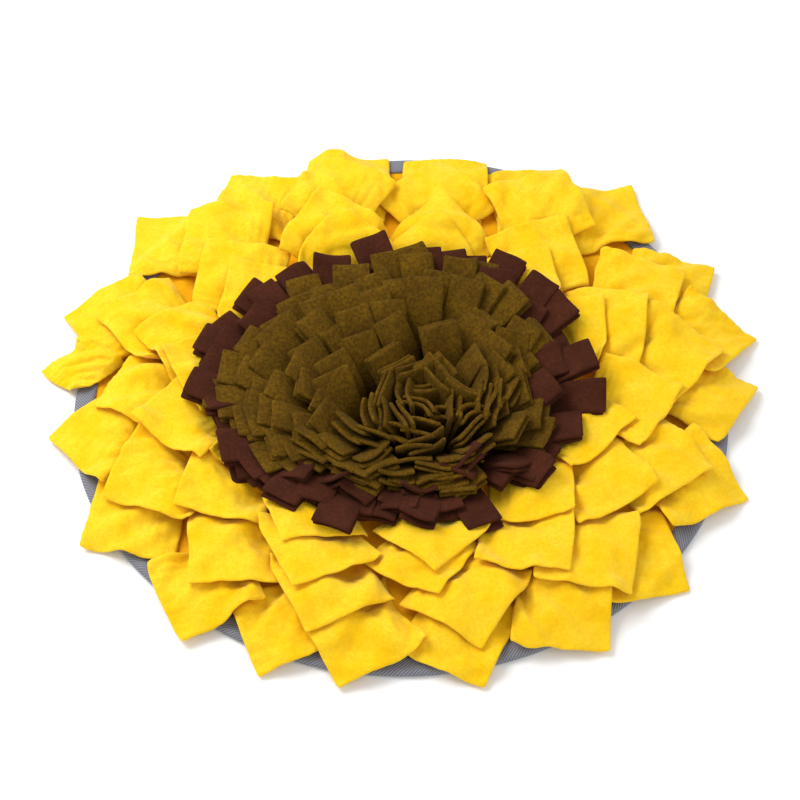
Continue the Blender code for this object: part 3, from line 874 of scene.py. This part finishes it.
# The tabs that show, the lower ones first: the middle of the cut end in mm, the way that the tab leans
# and its twist in degrees
Tab = namedtuple("Tab", "x y height heading roll")
brownTabs = (
    Tab(60, -144, 13, 295, 0),
    Tab(-54, -149, 14, 246, 0),
    Tab(8, -141, 14, 257, 0),
    Tab(-93, -126, 18, 250, 0),
    Tab(-165, -15, 20, 160, 0),
    Tab(-139, -78, 20, 200, 0),
    Tab(-103, -112, 20, 232, 0),
    Tab(103, -97, 20, 322, 0),
    Tab(-153, -33, 20, 196, 0),
    Tab(-144, -54, 20, 194, 0),
    Tab(-21, -136, 22, 262, 0),
    Tab(154, -26, 22, 357, 40),
    Tab(-160, 31, 22, 168, 0),
    Tab(-130, -88, 24, 205, 0),
    Tab(-68, -125, 24, 245, 0),
    Tab(32, -132, 24, 285, 0),
    Tab(106, -102, 24, 330, 35),
    Tab(110, -81, 24, 335, 0),
    Tab(134, -51, 24, 350, 0),
    Tab(-157, 10, 22, 160, 0),
    Tab(-147, 52, 26, 148, 0),
    Tab(-37, -133, 26, 262, 0),
    Tab(-7, -127, 26, 265, 0),
    Tab(-120, -96, 27, 212, 0),
    Tab(12, -119, 27, 285, -30),
    Tab(-129, 79, 28, 143, 0),
    Tab(-59, -110, 28, 235, 45),
    Tab(80, -100, 28, 318, 0),
    Tab(126, 37, 28, 30, 0),
    Tab(-40, -121, 29, 235, -25),
    Tab(-5, -132, 29, 250, 25),
    Tab(-148, 29, 27, 160, 0),
    Tab(-82, -95, 30, 215, -35),
    Tab(-127, 52, 31, 140, 0),
    Tab(89, -96, 31, 330, -40),
    Tab(-115, 79, 32, 135, 0),
    Tab(-87, -107, 32, 240, 35),
    Tab(51, 115, 32, 84, 0),
    Tab(112, 82, 32, 43, 0),
    Tab(124, 9, 32, 20, 0),
    Tab(130, 62, 32, 37, 0),
    Tab(-94, 103, 33, 126, 0),
    Tab(-57, 115, 33, 88, 0),
    Tab(-3, 122, 33, 100, 0),
    Tab(15, 119, 33, 90, 0),
    Tab(86, 115, 33, 57, 0),
    Tab(33, 120, 34, 86, 0),
    Tab(37, -106, 34, 245, -50),
    Tab(146, 11, 34, 16, 0),
    Tab(-31, 130, 36, 104, 0),
    Tab(102, 64, 36, 42, 0),
    Tab(74, 97, 37, 66, 0),
    Tab(50, -92, 38, 315, 20),
    Tab(114, -16, 38, 25, 0),
    Tab(49, -98, 41, 300, 60),
)
oliveTabs = (
    Tab(-152, -28, 33, 176, 0),
    Tab(111, -65, 27, 340, -8),
    Tab(50, -111, 28, 300, 20),
    Tab(39, -115, 29, 262, 0),
    Tab(-145, -37, 35, 182, 0),
    Tab(-92, -95, 30, 225, 0),
    Tab(0, -114, 30, 250, -12),
    Tab(-141, -4, 36, 165, 0),
    Tab(-127, 25, 36, 142, 0),
    Tab(-131, -58, 35, 186, 0),
    Tab(-110, -90, 33, 210, 0),
    Tab(107, -47, 33, 357, 0),
    Tab(-82, 90, 34, 116, 0),
    Tab(-33, -114, 34, 240, 0),
    Tab(24, -112, 34, 300, 15),
    Tab(-117, 7, 39, 150, -4),
    Tab(-102, 47, 38, 135, 0),
    Tab(-5, -111, 36, 285, 0),
    Tab(34, -111, 36, 262, 0),
    Tab(62, 103, 36, 78, 6),
    Tab(97, 15, 36, 20, 0),
    Tab(-121, -60, 37, 184, 0),
    Tab(-88, 65, 37, 125, 4),
    Tab(-128, -6, 38, 157, 0),
    Tab(-119, -28, 38, 172, 0),
    Tab(-108, 31, 38, 142, 0),
    Tab(-92, -84, 38, 215, 0),
    Tab(-74, -93, 38, 235, 0),
    Tab(-65, 79, 38, 115, 0),
    Tab(-42, -107, 38, 232, 5),
    Tab(-42, 103, 38, 100, 4),
    Tab(-14, 110, 38, 97, 0),
    Tab(2, 117, 38, 108, 0),
    Tab(45, 107, 38, 88, 0),
    Tab(94, -23, 38, 5, 0),
    Tab(94, 3, 38, 14, 0),
    Tab(108, 35, 38, 30, 8),
    Tab(-104, -79, 40, 200, 0),
    Tab(-71, 65, 40, 119, 0),
    Tab(-51, -101, 40, 228, 0),
    Tab(20, -103, 40, 268, 0),
    Tab(98, 39, 40, 45, -8),
    Tab(-112, -47, 41, 172, 0),
    Tab(8, 107, 41, 90, -3),
    Tab(-105, -22, 42, 165, 0),
    Tab(-15, -105, 42, 312, 0),
    Tab(40, -98, 42, 278, 0),
    Tab(86, -33, 42, 352, 4),
    Tab(89, -66, 42, 345, 0),
    Tab(92, 67, 42, 38, 0),
    Tab(-84, -66, 43, 200, 0),
    Tab(-27, 90, 43, 112, -4),
    Tab(-100, -55, 44, 180, 0),
    Tab(-90, -5, 44, 155, 0),
    Tab(-80, 16, 44, 138, 0),
    Tab(-76, 42, 44, 133, 0),
    Tab(-73, -84, 44, 240, 0),
    Tab(55, -89, 44, 300, 0),
    Tab(71, 78, 44, 50, 12),
    Tab(79, -3, 44, 36, -6),
    Tab(83, 28, 44, 110, 30),
    Tab(-82, -24, 45, 170, 8),
    Tab(-57, 35, 45, 125, 4),
    Tab(-50, 68, 45, 118, 0),
    Tab(-57, -88, 46, 225, 0),
    Tab(-26, 67, 46, 100, 0),
    Tab(-19, -95, 46, 318, 0),
    Tab(-3, 80, 46, 95, 0),
    Tab(7, -94, 46, 262, 4),
    Tab(30, 83, 46, 84, 10),
    Tab(75, 17, 46, 41, 0),
    Tab(77, -37, 46, 350, 0),
    Tab(-67, -53, 47, 150, 0),
    Tab(-42, 46, 47, 115, -4),
    Tab(-14, 57, 47, 97, 0),
    Tab(67, 44, 47, 55, 0),
    Tab(17, -86, 48, 268, 0),
    Tab(51, -73, 48, 284, 0),
    Tab(51, 76, 48, 74, -4),
    Tab(58, 37, 48, 60, 0),
    Tab(-67, -34, 49, 160, 0),
    Tab(-57, -19, 50, 125, 0),
    Tab(-44, -74, 50, 245, 0),
    Tab(-37, 20, 50, 110, 0),
    Tab(-25, -82, 50, 235, 0),
    Tab(17, 77, 50, 94, 0),
    Tab(70, -52, 50, 340, 0),
    Tab(-57, -4, 51, 130, 0),
    Tab(-16, 34, 51, 122, 0),
    Tab(-30, -56, 52, 180, 0),
    Tab(-2, -75, 52, 262, 0),
    Tab(27, -56, 52, 290, 0),
    Tab(50, -56, 52, 320, 0),
    Tab(60, 1, 52, 15, -22),
    Tab(62, -44, 52, 320, 0),
    Tab(67, -26, 52, 5, 0),
    Tab(-19, -59, 53, 190, 0),
    Tab(-19, 3, 54, 120, 0),
    Tab(-7, -63, 54, 225, 8),
    Tab(-7, -8, 54, 110, 10),
    Tab(6, -14, 54, 100, 6),
    Tab(12, -70, 54, 270, 0),
    Tab(17, -10, 54, 100, 8),
    Tab(24, 27, 54, 108, -6),
    Tab(29, -10, 54, 62, 10),
    Tab(39, -50, 54, 340, 0),
    Tab(-21, -39, 55, 160, 0),
    Tab(15, -33, 55, 118, 0),
    Tab(45, -34, 55, 45, 10),
    Tab(0, -40, 56, 130, 0),
    Tab(32, -27, 56, 60, 0),
    Tab(12, -49, 57, 205, 0),
)
# A fringe has the inner and outer radius of its backing. Lean gives the run from root to cut end: a
# share of the way to the whorl, what is added, the least and the most. Bend is in degrees, and more
# for each mm of that way. Crumple is that of its smoothest tabs.
Fringe = namedtuple("Fringe", "name node slot finish inner outer lean bend crumple tabs seed")
fringes = (
    Fringe("brownStrips", "brown_strips", "brown_fleece", brown, 80 * mm, 104 * mm,
           (0.36, 4 * mm, 30 * mm, 60 * mm), (60, 0.1), 0.85, brownTabs, 75),
    Fringe("oliveStrips", "olive_strips", "olive_fleece", olive, 0, 81 * mm,
           (0.34, 3 * mm, 5 * mm, 48 * mm), (34, 0.22), 0.5, oliveTabs, 175),
)


def tabLine(root, tip, bend, roll, half, shares, s):
    # middle, sideways and outward directions of a tab at shares of its length
    run = Vector((tip.x - root.x, tip.y - root.y, 0.0))
    out = run.normalized()
    side = Vector((-out.y, out.x, 0.0))
    long = run.length / (1 - math.cos(bend))
    tall = (tip.z - root.z) / math.sin(bend)
    line = []
    for share in shares:
        angle = bend * share
        spot = root + out * (long * (1 - math.cos(angle)))
        spot.z += tall * math.sin(angle)
        slope = math.atan2(tall * math.cos(angle), max(long * math.sin(angle), 1e-9))
        normal = Vector((0, 0, math.cos(slope))) - out * math.sin(slope)
        wide = s["rootWidth"] / 2 + (half - s["rootWidth"] / 2) * smoothStep(share / s["widest"])
        across = side * math.cos(roll * share) + normal * math.sin(roll * share)
        line.append((spot, across * wide, normal))
    return line


def barTree(line, thick, spare):
    # a search tree of a tab as a plain bent bar
    points = []
    for spot, across, normal in line:
        wide = across * (1 + spare / across.length)
        points += [spot - wide - normal * thick, spot + wide - normal * thick,
                   spot + wide + normal * thick, spot - wide + normal * thick]
    last = len(points) - 4
    faces = [(0, 1, 2, 3), (last + 3, last + 2, last + 1, last)]
    for start in range(0, last, 4):
        for k in range(4):
            after = (k + 1) % 4
            faces.append((start + k, start + 4 + k, start + 4 + after, start + after))
    return BVHTree.FromPolygons(points, faces)


def rootOf(tip, heading, fringe, s):
    # a tab is sewn to its backing some way behind its end
    share, more, least, most = fringe.lean
    away = math.dist((tip.x, tip.y), s["whorl"])
    run = min(max(share * away + more, least), most)
    root = Vector((tip.x, tip.y, 0)) - Vector((math.cos(heading), math.sin(heading), 0)) * run
    reach = min(max(root.length, fringe.inner + s["rootMargin"]), fringe.outer - s["rootMargin"])
    root *= reach / max(root.length, 1e-6)
    root.z = s["backing"] - s["sunk"]
    return root, math.radians(fringe.bend[0] + fringe.bend[1] * away / mm)


def layTab(tip, heading, roll, half, fringe, under, s):
    # the tab as it is seen, or a little higher and less twisted where it would cut through another
    root, bend = rootOf(tip, heading, fringe, s)
    for attempt in range(s["attempts"]):
        raised = tip + Vector((0, 0, attempt * s["lift"]))
        twist = roll * s["calm"] ** attempt
        line = tabLine(root, raised, bend, twist, half, s["laidAlong"], s)
        fat = barTree(line, s["laidThickness"] / 2 + s["gap"], s["gap"])
        clear = not any(tree.overlap(fat) for tree in under)
        if clear:
            break
    return root, raised, bend, twist, line, clear


def nearness(tip, s):
    # 1 at the whorl, 0 where the tabs are smooth
    return max(0.0, 1 - math.dist((tip.x, tip.y), s["whorl"]) / s["crumpled"])


def tabSheets(root, tip, bend, roll, half, smoothest, dice, s):
    # the two layers of one tab, as grids of points
    near = nearness(tip, s)
    crumple = smoothest + s["crumpleMore"] * near
    trough, ripple = [crumple * height for height in drawn(dice, s, "trough", "ripple")]
    phase = dice.uniform(0, 2 * math.pi)
    parting = dice.uniform(*s["parting"]) * (1 + near)
    curl, corner = [crumple * height for height in drawn(dice, s, "curl", "corner")]
    hand = dice.choice((-1, 1))
    turnAcross, turnAlong = s["rippleTurn"]
    sheets = []
    for layer in (-1, 1):
        short = 1 - dice.uniform(*s["shorter"])
        line = tabLine(root, tip, bend, roll, half, [share * short for share in s["along"]], s)
        grid = []
        for share, (spot, across, normal) in zip(s["along"], line):
            for t in s["across"]:
                off = layer * (s["apart"] * s["thickness"] + parting * share * share)
                off += trough * (t * t - 0.5) * share
                wave = math.sin(turnAcross * t + turnAlong * share + phase)
                off += ripple * share * share * wave
                off += curl * share ** 4 + corner * max(0.0, hand * t) ** 2 * share ** 3
                grid.append(spot + across * t + normal * off)
        sheets.append(grid)
    return sheets


def addSheet(points, faces, grid, wide):
    first, long = len(points), len(grid) // wide
    points += grid
    for a in range(long - 1):
        for b in range(wide - 1):
            at = first + a * wide + b
            faces.append((at, at + 1, at + wide + 1, at + wide))


def backingGrid(fringe, s):
    # rows of points from the backing's inner to its outer edge, all the way round
    height = s["backing"] - s["thickness"] / 2
    turns, last = s["backingTurns"], s["backingRings"] - 1
    grid = []
    for k in range(turns + 1):
        angle = 2 * math.pi * k / turns
        for n in range(last + 1):
            radius = fringe.inner + (fringe.outer - fringe.inner) * n / last
            radius = max(radius, s["backingHole"])
            grid.append(Vector((radius * math.cos(angle), radius * math.sin(angle), height)))
    return grid


def makeFringe(fringe, under, ground, s):
    # under gathers a search tree of each laid tab, so that the next one can keep clear of it
    dice = random.Random(fringe.seed)
    points, faces = [], []
    touching = 0
    for tab in fringe.tabs:
        tip = Vector((tab.x, tab.y, tab.height)) * mm
        floorLevel = float(heightAt(ground, np.array(tip)))
        tip.z = max(tip.z, floorLevel + s["laidThickness"] / 2)
        half = dice.uniform(*s["width"]) / 2
        steady, wild = s["stray"]
        stray = steady + (wild - steady) * nearness(tip, s)
        heading = math.radians(tab.heading + dice.uniform(-stray, stray))
        roll = math.radians(tab.roll + dice.uniform(-stray, stray))
        root, raised, bend, twist, line, clear = layTab(tip, heading, roll, half, fringe, under, s)
        under.append(barTree(line, s["laidThickness"] / 2, 0))
        touching += not clear
        for grid in tabSheets(root, raised, bend, twist, half, fringe.crumple, dice, s):
            addSheet(points, faces, grid, len(s["across"]))
    addSheet(points, faces, backingGrid(fringe, s), s["backingRings"])
    mesh = bpy.data.meshes.new(fringe.name)
    mesh.from_pydata(points, [], faces)
    strips = bpy.data.objects.new(fringe.name, mesh)
    bpy.context.scene.collection.objects.link(strips)
    deselectAll()
    bpy.context.view_layer.objects.active = strips
    strips.select_set(True)
    finishCloth(strips, fringe.name, fringe.finish, s["thickness"], 1)
    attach(strips, "root")
    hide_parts(fringe.node)
    print(fringe.name, "made:", len(fringe.tabs), "tabs,", touching, "of them touching others")


def clothTree(shapes):
    # a search tree of the laid petals
    points, faces = [], []
    for shape in shapes:
        addSheet(points, faces, [tuple(p) for p in shape.reshape(-1, 3)], len(shape))
    return BVHTree.FromPolygons(points, faces)


laidCloth = [clothTree(petalShapes)]
for fringe in fringes:
    makeFringe(fringe, laidCloth, ground, tabSettings)

print("all pieces made")
